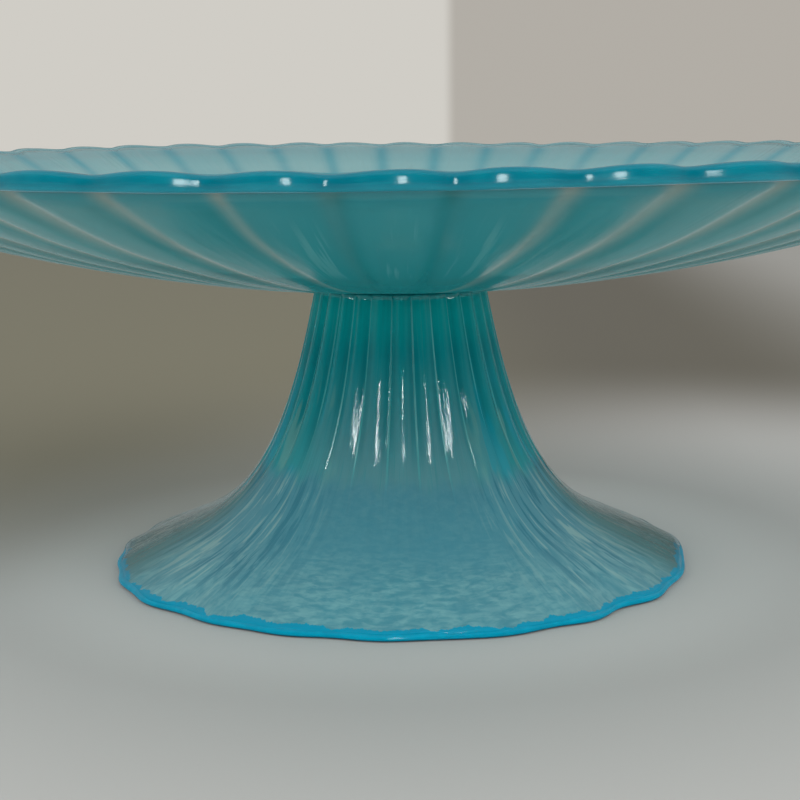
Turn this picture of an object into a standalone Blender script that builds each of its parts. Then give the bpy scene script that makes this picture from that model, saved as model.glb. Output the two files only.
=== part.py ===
"""Footed cake stand in blown opal glass: a shallow lobed dish fused to a hollow, fluted, flared foot.

Five pieces: the dish, the lip round its rim, the foot, the lip round the foot's edge, and the disc of
glass in the neck that joins the dish and the foot.  Metres, +Z up.  The origin is the centre of the ring
the stand rests on, and the front of the stand looks along -Y.

Each piece is an outline of (radius, z) points turned about Z.  All but the joint are then reshaped point
by point to give the lobes, the flutes and the uneven foot edge.
"""

from math import atan2, cos, hypot, pi, sin

import bmesh
import bpy

MM = 0.001
GAP = 0.3 * MM  # space left between neighbouring pieces

# ---- the dish -------------------------------------------------------------------------------------------
DISH_R = 152.0 * MM  # nominal radius, where the underside has climbed by DISH_RISE
DISH_LOW_Z = 70.2 * MM  # underside of the dish on the axis
DISH_RISE = 29.64 * MM
DISH_WALL = 3.2 * MM
DISH_EDGE_R = 148.8 * MM  # where the dish stops
SEAT_R = 30.0 * MM  # flat spot in the middle of the dish
SEAT_Z = 74.5 * MM
RIM_TURN_R = 140.0 * MM  # beyond this radius the rim turns up
RIM_UPTURN = 1.1 * MM
DISH_RINGS = 5  # outline points from LOBE_START_R to RIM_TURN_R

# ---- the lobes of the dish and its lip ------------------------------------------------------------------
LOBES = 50
LOBE_POWER = 1.4
LOBE_START_R = 56.0 * MM  # inside this radius the dish is smooth
LOBE_FULL_R = DISH_EDGE_R - 4.0 * MM  # the valleys reach their full depth here
SCALLOP_START_R = 0.82 * DISH_R  # the valleys begin to step back in plan
SCALLOP_FULL_R = DISH_EDGE_R - 1.0 * MM
SCALLOP_IN = 1.9 * MM  # how far a valley steps back from a lobe, in plan
SCALLOP_DOWN = 0.5 * MM  # how far a valley dips
GROOVE = 0.55 * MM  # how far the underside is cut up into the glass along the valleys
DISH_STEPS = 4 * LOBES

# ---- the dish's lip -------------------------------------------------------------------------------------
LIP_IN_R = DISH_EDGE_R + GAP
LIP_NOSE = 3.2 * MM  # inner face to nose
LIP_SHOULDER = 0.25  # share of the nose that is straight before the rounding begins
LIP_HALF_H = 1.8 * MM
LIP_RAISE = 0.2 * MM  # middle of the lip above the middle of the dish's wall
LIP_POINTS = 7

# ---- the foot -------------------------------------------------------------------------------------------
NECK_R = 21.8 * MM
NECK_TOP_Z = 70.0 * MM
NECK_PULL = 60.73 * MM  # how strongly the neck keeps its own direction
NECK_LEAN = 0.1894  # radians from the vertical
FOOT_EDGE_R = 70.3 * MM
FOOT_EDGE_Z = 2.85 * MM
FLARE_PULL = 24.6 * MM  # the same for the flare at the foot's edge
FLARE_LEAN = 0.4669  # radians from the horizontal
NECK_WALL = 3.1 * MM
EDGE_WALL = 2.1 * MM
FOOT_RINGS = 9

FLUTES = 28
FLUTE_POWER = 0.8
FLUTE_DEPTH = 0.55 * MM
FLUTE_END_Z = 20.0 * MM
FLUTE_FULL_Z = 45.0 * MM
FOOT_STEPS = 4 * FLUTES

FOOT_WAVE = 0.3 * MM  # the foot's edge is not a true circle
FOOT_WAVE_START_R = 0.8 * FOOT_EDGE_R
FOOT_WAVE_FULL_R = FOOT_EDGE_R - 1.0 * MM
# Share of FOOT_WAVE, waves in a full turn, phase in radians.
FOOT_WAVE_TERMS = ((0.6, 9, 0.7), (0.4, 17, 2.1))

# ---- the foot's lip -------------------------------------------------------------------------------------
FOOT_LIP_IN_R = FOOT_EDGE_R + GAP
FOOT_LIP_MID_R = 72.0 * MM
FOOT_LIP_HALF_W = 1.5 * MM
FOOT_LIP_MID_Z = 1.45 * MM
FOOT_LIP_HALF_H = 1.75 * MM
FOOT_LIP_START = pi / 2 + 0.6  # angle of the first point in the section, from outwards
FOOT_LIP_POINTS = 11

# ---- the joint ------------------------------------------------------------------------------------------
JOINT_R = 18.3 * MM
JOINT_THICK = 3.0 * MM  # on the axis
JOINT_RINGS = 4
JOINT_STEPS = 56

# ---- turning and smoothing ------------------------------------------------------------------------------
TURN_MERGE = 0.00001  # closes the seam and the axis
SHAPE_MERGE = 0.000005
SHARP_ANGLE = 0.9  # radians; steeper edges are shaded sharp


def start_clean():
    for obj in list(bpy.data.objects):
        bpy.data.objects.remove(obj, do_unlink=True)


def glass(name, colour, roughness):
    material = bpy.data.materials.new(name)
    material.use_nodes = True
    shader = material.node_tree.nodes["Principled BSDF"]
    shader.inputs["Base Color"].default_value = (*colour, 1.0)
    shader.inputs["Roughness"].default_value = roughness
    shader.inputs["Metallic"].default_value = 0.0
    shader.inputs["IOR"].default_value = 1.5
    material.diffuse_color = (*colour, 1.0)
    return material


# ---- shared curves --------------------------------------------------------------------------------------


def smooth_step(low, high, value):
    share = min(1.0, max(0.0, (value - low) / (high - low)))
    return share * share * (3.0 - 2.0 * share)


def around(x, y):
    """Angle round the axis, 0 at the front (-Y)."""
    return atan2(x, -y)


def valley_at(angle, count, power):
    """0 on the middle of a lobe or flute, 1 in the valley beside it; the valleys narrow as power falls."""
    return 1.0 - abs(cos(0.5 * count * angle)) ** power


def moved_out(x, y, z, distance):
    """The point moved away from the axis, or towards it where the distance is negative."""
    radius = hypot(x, y)
    scale = (radius + distance) / radius
    return (x * scale, y * scale, z)


def underside(radius):
    """Height of the dish's underside."""
    bowl = DISH_RISE * (radius / DISH_R) ** 2
    return DISH_LOW_Z + bowl + RIM_UPTURN * smooth_step(RIM_TURN_R, DISH_EDGE_R, radius)


# ---- making a turned piece ------------------------------------------------------------------------------


def turned(name, outline, steps, closed, parts, material):
    """The outline as a line of edges, turned about Z by a Screw modifier."""
    mesh = bpy.data.meshes.new(name)
    edges = [(i, i + 1) for i in range(len(outline) - 1)]
    if closed:
        edges.append((len(outline) - 1, 0))
    mesh.from_pydata([(radius, 0.0, z) for radius, z in outline], edges, [])
    mesh.materials.append(material)
    obj = bpy.data.objects.new(name, mesh)
    parts.objects.link(obj)
    screw = obj.modifiers.new("turn", "SCREW")
    screw.axis = "Z"
    screw.angle = 2 * pi
    screw.steps = steps
    screw.render_steps = steps
    screw.use_merge_vertices = True
    screw.merge_threshold = TURN_MERGE
    return obj


def shaped(obj, move):
    """Applies the Screw modifier, then lets move(x, y, z) set each point's new place."""
    outline_mesh = obj.data
    material = outline_mesh.materials[0]
    depsgraph = bpy.context.evaluated_depsgraph_get()
    mesh = bpy.data.meshes.new_from_object(obj.evaluated_get(depsgraph))
    obj.modifiers.clear()
    obj.data = mesh
    bpy.data.meshes.remove(outline_mesh)

    work = bmesh.new()
    work.from_mesh(mesh)
    bmesh.ops.remove_doubles(work, verts=work.verts, dist=SHAPE_MERGE)
    for vert in work.verts:
        vert.co = move(*vert.co)
    bmesh.ops.recalc_face_normals(work, faces=work.faces)
    work.to_mesh(mesh)
    work.free()

    mesh.materials.clear()
    mesh.materials.append(material)
    mesh.name = obj.name
    mesh.shade_smooth()
    mesh.set_sharp_from_angle(angle=SHARP_ANGLE)
    return obj


# ---- the dish and its lip -------------------------------------------------------------------------------


def lobed(x, y, z):
    """Scallops the dish and its lip alike, so the space between them stays even."""
    radius = hypot(x, y)
    if radius < 1e-6:  # the points on the axis stay
        return (x, y, z)
    valley = valley_at(around(x, y), LOBES, LOBE_POWER)
    depth = valley * smooth_step(LOBE_START_R, LOBE_FULL_R, radius)
    step_back = valley * smooth_step(SCALLOP_START_R, SCALLOP_FULL_R, radius)
    on_dish = radius < (DISH_EDGE_R + LIP_IN_R) / 2
    below_middle = z < underside(radius) + DISH_WALL / 2
    z -= SCALLOP_DOWN * depth
    if on_dish and below_middle:
        z += GROOVE * depth
    return moved_out(x, y, z, -SCALLOP_IN * step_back)


def dish_outline():
    """Top from the axis outwards, down the edge, and back along the underside."""
    span = RIM_TURN_R - LOBE_START_R
    radii = [LOBE_START_R + span * i / (DISH_RINGS - 1) for i in range(DISH_RINGS)]
    radii.append(DISH_EDGE_R)
    top = [(0.0, SEAT_Z), (SEAT_R, SEAT_Z)]
    top += [(radius, underside(radius) + DISH_WALL) for radius in radii]
    low = [(radius, underside(radius)) for radius in reversed(radii)]
    low += [(NECK_R, underside(NECK_R)), (0.0, DISH_LOW_Z)]
    return top + low


def make_dish(parts):
    opal = glass("opal_blue_glass", colour=(0.16, 0.45, 0.50), roughness=0.08)
    return shaped(turned("plate", dish_outline(), DISH_STEPS, False, parts, opal), lobed)


def lip_outline():
    """A rounded nose that follows the dish's slope, flat on the side that meets the dish."""
    points = []
    for i in range(LIP_POINTS):
        angle = pi / 2 - pi * i / (LIP_POINTS - 1)
        radius = LIP_IN_R
        if 0 < i < LIP_POINTS - 1:
            radius += LIP_NOSE * (LIP_SHOULDER + (1.0 - LIP_SHOULDER) * cos(angle))
        middle = underside(radius) + DISH_WALL / 2 + LIP_RAISE
        points.append((radius, middle + LIP_HALF_H * sin(angle)))
    return points


def make_dish_lip(parts):
    blue = glass("rim_blue_glass", colour=(0.01, 0.25, 0.34), roughness=0.05)
    return shaped(turned("plate_rim_lip", lip_outline(), DISH_STEPS, True, parts, blue), lobed)


# ---- the foot and its lip -------------------------------------------------------------------------------


def foot_curve(t):
    """The foot's outer side, a cubic curve from the neck down to the edge, and its direction."""
    neck = (NECK_R, NECK_TOP_Z)
    neck_handle = (
        NECK_R + NECK_PULL * sin(NECK_LEAN),
        NECK_TOP_Z - NECK_PULL * cos(NECK_LEAN),
    )
    edge_handle = (
        FOOT_EDGE_R - FLARE_PULL * cos(FLARE_LEAN),
        FOOT_EDGE_Z + FLARE_PULL * sin(FLARE_LEAN),
    )
    edge = (FOOT_EDGE_R, FOOT_EDGE_Z)
    s = 1.0 - t
    place, run = [], []
    for a, b, c, d in zip(neck, neck_handle, edge_handle, edge):
        place.append(s**3 * a + 3 * s * s * t * b + 3 * s * t * t * c + t**3 * d)
        run.append(3 * s * s * (b - a) + 6 * s * t * (c - b) + 3 * t * t * (d - c))
    return place, run


def foot_radius(z):
    """Outer radius of the foot at a height, found by halving."""
    low, high = 0.0, 1.0
    for _ in range(30):
        middle = 0.5 * (low + high)
        if foot_curve(middle)[0][1] > z:
            low = middle
        else:
            high = middle
    return foot_curve(0.5 * (low + high))[0][0]


def foot_wave(angle):
    return FOOT_WAVE * sum(
        share * sin(waves * angle + phase) for share, waves, phase in FOOT_WAVE_TERMS
    )


def fluted(x, y, z):
    """Flutes round the outside of the neck, and the foot's slightly uneven edge."""
    radius = hypot(x, y)
    angle = around(x, y)
    distance = foot_wave(angle) * smooth_step(FOOT_WAVE_START_R, FOOT_WAVE_FULL_R, radius)
    if radius > foot_radius(z) - 0.5 * NECK_WALL:  # the outer side
        valley = valley_at(angle, FLUTES, FLUTE_POWER)
        distance -= FLUTE_DEPTH * valley * smooth_step(FLUTE_END_Z, FLUTE_FULL_Z, z)
    return moved_out(x, y, z, distance)


def waved(x, y, z):
    """Gives the foot's lip the same wave as the edge it goes round."""
    return moved_out(x, y, z, foot_wave(around(x, y)))


def foot_outline():
    """Down the outer side, across the edge, and up the inner side, which is set in by the wall."""
    outer, inner = [], []
    for i in range(FOOT_RINGS):
        t = i / (FOOT_RINGS - 1)
        (radius, z), (run_out, run_up) = foot_curve(t)
        length = hypot(run_out, run_up)
        wall = NECK_WALL + (EDGE_WALL - NECK_WALL) * t
        outer.append((radius, z))
        if i == 0:
            inner.append((radius - wall, z))
        elif i == FOOT_RINGS - 1:
            inner.append((radius, z - wall))
        else:
            inner.append((radius + wall * run_up / length, z - wall * run_out / length))
    return outer + inner[::-1]


def make_foot(parts):
    opal = glass("foot_opal_glass", colour=(0.12, 0.36, 0.42), roughness=0.08)
    return shaped(turned("pedestal", foot_outline(), FOOT_STEPS, True, parts, opal), fluted)


def foot_lip_outline():
    """A rounded bead with a flat underneath, where the stand rests, and a flat towards the foot."""
    points = []
    for i in range(FOOT_LIP_POINTS):
        angle = FOOT_LIP_START - 2 * pi * i / FOOT_LIP_POINTS
        radius = FOOT_LIP_MID_R + FOOT_LIP_HALF_W * cos(angle)
        z = FOOT_LIP_MID_Z + FOOT_LIP_HALF_H * sin(angle)
        points.append((max(FOOT_LIP_IN_R, radius), max(0.0, z)))
    return points


def make_foot_lip(parts):
    blue = glass("foot_rim_blue_glass", colour=(0.004, 0.34, 0.56), roughness=0.05)
    return shaped(turned("foot_rim_lip", foot_lip_outline(), FOOT_STEPS, True, parts, blue), waved)


# ---- the joint ------------------------------------------------------------------------------------------


def joint_outline():
    """A disc in the neck, its top a gap below the dish."""
    radii = [JOINT_R * i / JOINT_RINGS for i in range(JOINT_RINGS + 1)]
    top = [(radius, underside(radius) - GAP) for radius in radii]
    low = DISH_LOW_Z - GAP - JOINT_THICK
    return top + [(JOINT_R, low), (0.0, low)]


def make_joint(parts):
    weld = glass("joint_glass", colour=(0.02, 0.28, 0.32), roughness=0.10)
    return turned("joint_disc", joint_outline(), JOINT_STEPS, False, parts, weld)


def main():
    start_clean()
    parts = bpy.data.collections.new("cake_stand")
    bpy.context.scene.collection.children.link(parts)
    stand = bpy.data.objects.new("stand", None)
    parts.objects.link(stand)
    for make in (make_dish, make_dish_lip, make_foot, make_foot_lip, make_joint):
        make(parts).parent = stand


main()
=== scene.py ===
"""A cake stand of opal glass: a scalloped dish with a blue lip on a fluted, flaring foot.

Metres, +Z up. The stand's axis is the Z axis and it stands on z = 0. The front faces -Y.
Angles round the axis start at the front and grow towards +X, the viewer's right.
"""
import math
from itertools import product
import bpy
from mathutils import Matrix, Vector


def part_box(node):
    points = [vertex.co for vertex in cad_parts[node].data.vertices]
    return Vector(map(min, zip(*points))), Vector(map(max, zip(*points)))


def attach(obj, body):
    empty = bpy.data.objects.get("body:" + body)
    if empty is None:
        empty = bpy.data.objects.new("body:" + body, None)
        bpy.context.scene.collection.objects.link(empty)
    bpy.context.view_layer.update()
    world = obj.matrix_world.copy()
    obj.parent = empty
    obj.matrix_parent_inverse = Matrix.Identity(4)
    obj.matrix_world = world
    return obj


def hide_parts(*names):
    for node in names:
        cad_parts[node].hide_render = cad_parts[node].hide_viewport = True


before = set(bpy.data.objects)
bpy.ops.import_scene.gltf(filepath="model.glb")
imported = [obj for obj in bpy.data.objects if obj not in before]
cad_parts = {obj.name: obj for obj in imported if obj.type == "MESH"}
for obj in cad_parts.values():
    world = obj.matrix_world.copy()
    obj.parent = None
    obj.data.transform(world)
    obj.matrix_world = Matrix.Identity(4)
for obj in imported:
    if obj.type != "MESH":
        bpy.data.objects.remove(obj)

from types import SimpleNamespace

import bpy
import numpy as np
from mathutils import Matrix, Vector

MM = 0.001
TAU = 2 * math.pi
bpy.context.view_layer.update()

# ---- Main sizes -------------------------------------------------------------------
PLATE_LOW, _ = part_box("plate")
_, PEDESTAL_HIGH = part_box("pedestal")
JOINT_LOW, JOINT_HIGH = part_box("joint_disc")

DISH_LOW_Z = PLATE_LOW.z  # underside of the dish on the axis
DISH_RISE = 29.64 * MM  # how far the underside climbs from the axis to DISH_R
DISH_R = 152.0 * MM
DISH_WALL = 3.2 * MM
DISH_EDGE_R = 148.8 * MM  # where the scallops reach full depth
DISH_END_R = 149.6 * MM  # last row of the dish, within its lip
SEAT_Z = 74.5 * MM  # flat middle of the upper face
NECK_Z = PEDESTAL_HIGH.z
LOBES = 50
FLUTES = 28

DISH_LIP_R = 150.0 * MM  # middle of the lip's section
DISH_LIP_LIFT = 1.84 * MM  # above the underside
DISH_LIP_HALF = (2.15 * MM, 1.80 * MM)  # half width and half height
DISH_LIP_TILT = 0.06  # radians, outer side up

FOOT_LIP_R = 71.95 * MM
FOOT_LIP_Z = 0.88 * MM
FOOT_LIP_HALF = (1.65 * MM, 0.86 * MM)
FOOT_WALLS = (3.1 * MM, 2.2 * MM)  # at the neck and at the edge
FOOT_SHIFT = np.array([-0.55, 0.0, 0.0]) * MM  # the flare sits a touch off the neck's axis


# ---- Smooth seeded noise, the same each run -------------------------------------------
def ease(x, lo, hi):
    """Smooth step from 0 at lo to 1 at hi; lo may be the larger."""
    t = np.clip((x - lo) / (hi - lo), 0.0, 1.0)
    return t * t * (3 - 2 * t)


def ring_noise(seed, low, high, count):
    """A function of the angle: a sum of count waves of low to high cycles, spread about 0."""
    rng = np.random.default_rng(seed)
    cycles = rng.integers(low, high + 1, count)
    shifts = rng.uniform(0, TAU, count)
    sizes = rng.normal(0, 1, count)
    sizes /= math.sqrt(float((sizes * sizes).sum()) / 2)

    def noise(angle):
        out = np.zeros_like(angle)
        for cycle, shift, size in zip(cycles, shifts, sizes):
            out = out + size * np.sin(cycle * angle + shift)
        return out

    return noise


def hash_cells(cells, seed):
    """A fixed number from 0 to 1 for each whole-number cell (..., 3)."""
    x, y, z = (cells[..., axis] for axis in range(3))
    h = (x * 73856093) ^ (y * 19349663) ^ (z * 83492791) ^ (seed * 2654435761)
    h = (h ^ (h >> 13)) * 1274126177
    h = h ^ (h >> 16)
    return (h & 0xFFFFFF).astype(float) / float(0xFFFFFF)


def value_noise(points, seed):
    """Smooth value noise of points (..., 3), between -1 and 1."""
    base = np.floor(points)
    f = points - base
    f = f * f * f * (f * (6 * f - 15) + 10)
    cells = base.astype(np.int64)
    out = 0.0
    for corner in product((0, 1), repeat=3):
        weight = 1.0
        for axis, far in enumerate(corner):
            weight = weight * (f[..., axis] if far else 1 - f[..., axis])
        out = out + weight * hash_cells(cells + np.array(corner), seed)
    return 2 * out - 1


# ---- Where the lobes and flutes lie: hand work, so never quite even ---------------------
def uneven(count, seed, spread, front=()):
    """Valley angles in degrees; front gives the offsets of those nearest the front."""
    rng = np.random.default_rng(seed)
    offset = rng.normal(0, spread, count)
    offset = 0.6 * offset + 0.2 * np.roll(offset, 1) + 0.2 * np.roll(offset, -1)
    for i, value in enumerate(front):
        offset[(i - len(front) // 2) % count] = value
    return (np.arange(count) + 0.5) * 360.0 / count + offset


def phase_of(valleys):
    """A function from angle (radians) to (phase, index, width in degrees) of its lobe.

    The phase is 0 in a valley, 0.5 on the crest after it and 1 in the next valley."""
    v = np.sort(np.mod(valleys, 360.0))
    ends = np.concatenate([[v[-1] - 360.0], v, [v[0] + 360.0]])

    def phase(angle):
        a = np.mod(np.degrees(angle), 360.0)
        i = np.clip(np.searchsorted(ends, a, side="right") - 1, 0, len(ends) - 2)
        width = ends[i + 1] - ends[i]
        return (a - ends[i]) / width, i % len(v), width

    return phase


def angles_for(valleys, steps):
    """Mesh angles: each lobe gets the same phases, so that edges run along its valley."""
    v = np.sort(np.mod(valleys, 360.0))
    following = np.concatenate([v[1:], [v[0] + 360.0]])
    return np.radians(np.array([a + (b - a) * s for a, b in zip(v, following) for s in steps]))


# ---- Meshes ---------------------------------------------------------------------------
def columns(x, y, z):
    return np.stack(np.broadcast_arrays(x, y, z), -1)


def to_xyz(radius, angle, z):
    return columns(radius * np.sin(angle), -radius * np.cos(angle), z)


def super_ellipse(half_sizes, power, turn):
    """Point of a squarish ellipse: offsets outwards and up."""
    c, s = math.cos(turn), math.sin(turn)
    return (half_sizes[0] * np.sign(c) * abs(c) ** (2 / power),
            half_sizes[1] * np.sign(s) * abs(s) ** (2 / power))


def ring_quads(rows, cols, closed):
    """Quads of rows along the outline by cols round the axis; the outline may be closed."""
    r = np.arange(rows if closed else rows - 1)
    row, col = np.meshgrid(r, np.arange(cols), indexing="ij")
    row2, col2 = (row + 1) % rows, (col + 1) % cols
    corners = [row * cols + col, row2 * cols + col, row2 * cols + col2, row * cols + col2]
    return np.stack(corners, -1).reshape(-1, 4)


def capped_faces(rows, cols):
    """Quads of an open outline, and fans to a top and a low pole added after its points."""
    quads = ring_quads(rows, cols, False)[:, ::-1]
    top = rows * cols
    last = (rows - 1) * cols
    c = np.arange(cols)
    c2 = (c + 1) % cols
    fans = [columns(top, c2, c), columns(top + 1, last + c, last + c2)]
    return quads, np.concatenate(fans)


def turn_outwards(mesh):
    """Flips the faces if the signed volume says they point in."""
    mesh.calc_loop_triangles()
    tri = np.zeros(len(mesh.loop_triangles) * 3, np.int32)
    mesh.loop_triangles.foreach_get("vertices", tri)
    co = np.zeros(len(mesh.vertices) * 3)
    mesh.vertices.foreach_get("co", co)
    t = co.reshape(-1, 3)[tri.reshape(-1, 3)]
    if np.einsum("ij,ij->i", t[:, 0], np.cross(t[:, 1], t[:, 2])).sum() < 0:
        mesh.flip_normals()


def mesh_object(name, points, quads, tris, values, flow, material):
    mesh = bpy.data.meshes.new(name)
    quad_count, tri_count = len(quads), len(tris)
    mesh.vertices.add(len(points))
    mesh.vertices.foreach_set("co", np.asarray(points, np.float32).ravel())
    loops = np.concatenate([np.asarray(f, np.int32).ravel() for f in (quads, tris)])
    mesh.loops.add(len(loops))
    mesh.loops.foreach_set("vertex_index", loops)
    mesh.polygons.add(quad_count + tri_count)
    starts = [np.arange(quad_count) * 4, quad_count * 4 + np.arange(tri_count) * 3]
    mesh.polygons.foreach_set("loop_start", np.concatenate(starts).astype(np.int32))
    mesh.update(calc_edges=True)
    mesh.validate()
    mesh.polygons.foreach_set("use_smooth", [True] * len(mesh.polygons))
    for key, value in values.items():
        layer = mesh.attributes.new(key, "FLOAT", "POINT")
        layer.data.foreach_set("value", np.asarray(value, np.float32).ravel())
    layer = mesh.attributes.new("flow", "FLOAT_VECTOR", "POINT")
    layer.data.foreach_set("vector", np.asarray(flow, np.float32).ravel())
    obj = bpy.data.objects.new(name, mesh)
    bpy.context.scene.collection.objects.link(obj)
    mesh.materials.append(material)
    turn_outwards(mesh)
    return obj


class Sheet:
    """Rows of points round the axis, with named values for the materials.

    "flow" holds the outward direction (x, y) and the place along the outline."""

    def __init__(self, angle):
        self.angle = angle
        self.points, self.flow, self.values = [], [], {}

    def add_row(self, points, along, **values):
        self.points.append(points)
        self.flow.append(columns(np.sin(self.angle), -np.cos(self.angle), along))
        for key, value in values.items():
            row = np.broadcast_to(value, self.angle.shape)
            self.values.setdefault(key, []).append(row)

    def joined(self):
        values = {key: np.concatenate(rows) for key, rows in self.values.items()}
        return np.concatenate(self.points), values, np.concatenate(self.flow)

    def build_closed(self, name, material):
        points, values, flow = self.joined()
        quads = ring_quads(len(self.points), len(self.angle), True)
        return mesh_object(name, points, quads, (), values, flow, material)


# ---- Dish -----------------------------------------------------------------------------
# Degrees, for the eight valleys nearest the front
FRONT_OFFSETS = (-1.02, -0.89, -0.33, -0.45, -0.50, -0.42, -0.51, 0.12)
# Phases of the mesh columns of one lobe: closer together at the valleys, or even
LOBE_STEPS = tuple(i / 24 - 0.06 * math.sin(TAU * i / 24) for i in range(24))
BEAD_STEPS = tuple(i / 44 for i in range(44))


def place_dish_valleys():
    valleys = uneven(LOBES, seed=11, spread=0.32, front=FRONT_OFFSETS)
    signed = (valleys + 180.0) % 360.0 - 180.0
    # wider lobes in front
    valleys = valleys + 4.0 * np.sin(np.radians(signed)) * np.exp(-((signed / 55.0) ** 2))
    return valleys - 0.90 * 0.5 * (1 - np.cos(np.radians(valleys)))


DISH_VALLEYS = place_dish_valleys()
dish_phase = phase_of(DISH_VALLEYS)
lobe_rng = np.random.default_rng(5)
LOBE_SIZE = 1.0 + lobe_rng.normal(0, 0.09, LOBES + 1)
LOBE_LEAN = lobe_rng.normal(0, 0.05, LOBES + 1)
GROOVE_SIZE = np.clip(1.0 + lobe_rng.normal(0, 0.16, LOBES + 1), 0.6, 1.5)
rim_lift = ring_noise(seed=21, low=2, high=5, count=6)
rim_out = ring_noise(seed=22, low=2, high=7, count=8)


def outward_turn(r):
    """0 to 1 over the outer third of the dish."""
    return ease(r, 96 * MM, DISH_EDGE_R + 1.5 * MM) ** 1.5


def underside(r):
    return DISH_LOW_Z + DISH_RISE * (r / DISH_R) ** 2 + 1.25 * MM * outward_turn(r)


def topside(r):
    """The flat seat, rounded into the sloping wall."""
    seat, slope, blend = SEAT_Z, underside(r) + DISH_WALL, 0.35 * MM
    z = 0.5 * (seat + slope + np.sqrt((seat - slope) ** 2 + blend * blend))
    return z - 0.5 * blend * 0.4 + 0.50 * MM * ease(r, 96 * MM, 150 * MM) ** 1.5


def lobe_wave():
    """The scallop's outline over one lobe, summed from its slope:
    a round lobe, straight flanks, a tighter valley."""
    phase = np.linspace(0, 1, 801)
    slope = np.interp(phase, (0, 0.11, 0.21, 0.5, 0.79, 0.89, 1), (0, 1, 1, 0, -1, -1, 0))
    soft = np.exp(-0.5 * (np.linspace(-3, 3, 61)) ** 2)
    padded = np.concatenate([slope[-61:-1], slope, slope[1:61]])
    slope = np.convolve(padded, soft / soft.sum(), "same")[60:-60]
    rise = np.concatenate([[0], np.cumsum(0.5 * (slope[1:] + slope[:-1]))])
    return phase, rise / rise.max()


def lobe_shape(angle):
    """crest: 1 mid lobe, 0 in the valley; groove: 1 on the narrow valley line;
    near: degrees from the valley; side: 1 just after a valley, -1 just before one."""
    phase, index, width = dish_phase(angle)
    leaning = np.clip(phase + LOBE_LEAN[index] * np.sin(np.pi * phase), 0, 1)
    near = np.minimum(phase, 1 - phase) * width
    groove_size = GROOVE_SIZE[np.where(phase < 0.5, index, (index + 1) % LOBES)]
    return SimpleNamespace(
        crest=np.interp(leaning, *lobe_wave()),
        groove=np.exp(-((near / (0.86 * groove_size)) ** 2)),
        near=near,
        size=LOBE_SIZE[index] * np.sin(np.pi * phase) ** 2 + 1.0 * np.cos(np.pi * phase) ** 2,
        groove_size=groove_size,
        side=np.exp(-((phase / 0.26) ** 2)) - np.exp(-(((1 - phase) / 0.26) ** 2)),
    )


def edge_share(r):
    return ease(r, 118 * MM, DISH_EDGE_R - 0.5 * MM)


def scallop(r, z, angle, lobe):
    """Scallops and small unevenness, for points of the dish and of its lip."""
    spread = ease(r, 44 * MM, DISH_EDGE_R - 2 * MM)
    soft = ease(r, 60 * MM, DISH_R)
    r2 = r - 2.40 * MM * (1 - lobe.crest * lobe.size) * edge_share(r)
    r2 = r2 + 0.35 * MM * rim_out(angle) * soft
    z2 = z - 0.42 * MM * (1 - lobe.crest) * spread ** 2 * lobe.size
    z2 = z2 + 0.22 * MM * rim_lift(angle) * soft
    z2 = z2 + 0.25 * MM * (1 - np.cos(angle)) * soft  # a touch higher at the back
    return r2, z2


def dish_row(r, top, angle, lobe):
    """Points of one row of the upper face or of the underside."""
    z = topside(r) if top else underside(r)
    r2, z2 = scallop(r, z, angle, lobe)
    # the lobes bulge a little on both faces, the grooves bite into the underside
    swell = ease(r, 30 * MM, 110 * MM)
    if top:
        z2 = z2 + 0.16 * MM * (lobe.crest - 0.5) * swell
    else:
        bulge = -0.65 * MM * (lobe.crest - 0.5) * (1 - 0.6 * edge_share(r))
        z2 = z2 + (bulge + 0.35 * MM * lobe.groove * lobe.groove_size) * swell
        z2 = z2 + 0.75 * MM * ease(r, 146.6 * MM, DISH_END_R)  # rounded lower edge
    smooth = to_xyz(r, angle, z)
    ripple = value_noise(smooth / (26 * MM), 3) * 0.16 * MM
    ripple = ripple + value_noise(smooth / (9 * MM) + 7.3, 4) * 0.035 * MM
    z2 = z2 + ripple * ease(r, 20 * MM, 60 * MM) * (1 if top else 0.8)
    return to_xyz(r2, angle, z2)


def build_dish(material):
    angle = angles_for(DISH_VALLEYS, LOBE_STEPS)
    lobe = lobe_shape(angle)
    # radii in mm: outwards over the upper face, then back in under it
    top_radii = (np.linspace(2.5, 38, 8), np.linspace(43, 149.6, 29))
    low_radii = (np.linspace(149.6, 146.0, 5), np.linspace(143.2, 43, 30),
                 np.linspace(38, 2.5, 8))
    sheet = Sheet(angle)
    for top, radii in ((True, top_radii), (False, low_radii)):
        for r in np.concatenate(radii) * MM:
            sheet.add_row(dish_row(r, top, angle, lobe), r / DISH_R, groove=lobe.groove,
                          crest=lobe.crest, rr=r / DISH_R, under=0.0 if top else 1.0,
                          wide=np.exp(-((lobe.near / 0.98) ** 2)), side=lobe.side)
    points, values, flow = sheet.joined()
    quads, tris = capped_faces(len(sheet.points), len(angle))
    poles = [[0, 0, float(topside(0.0))], [0, 0, DISH_LOW_Z]]
    values = {key: np.append(value, [0.0, 0.0]) for key, value in values.items()}
    values["under"][-1] = 1.0
    flow = np.concatenate([flow, np.zeros((2, 3))])
    points = np.concatenate([points, poles])
    return mesh_object("dish_glass", points, quads, tris, values, flow, material)


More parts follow.
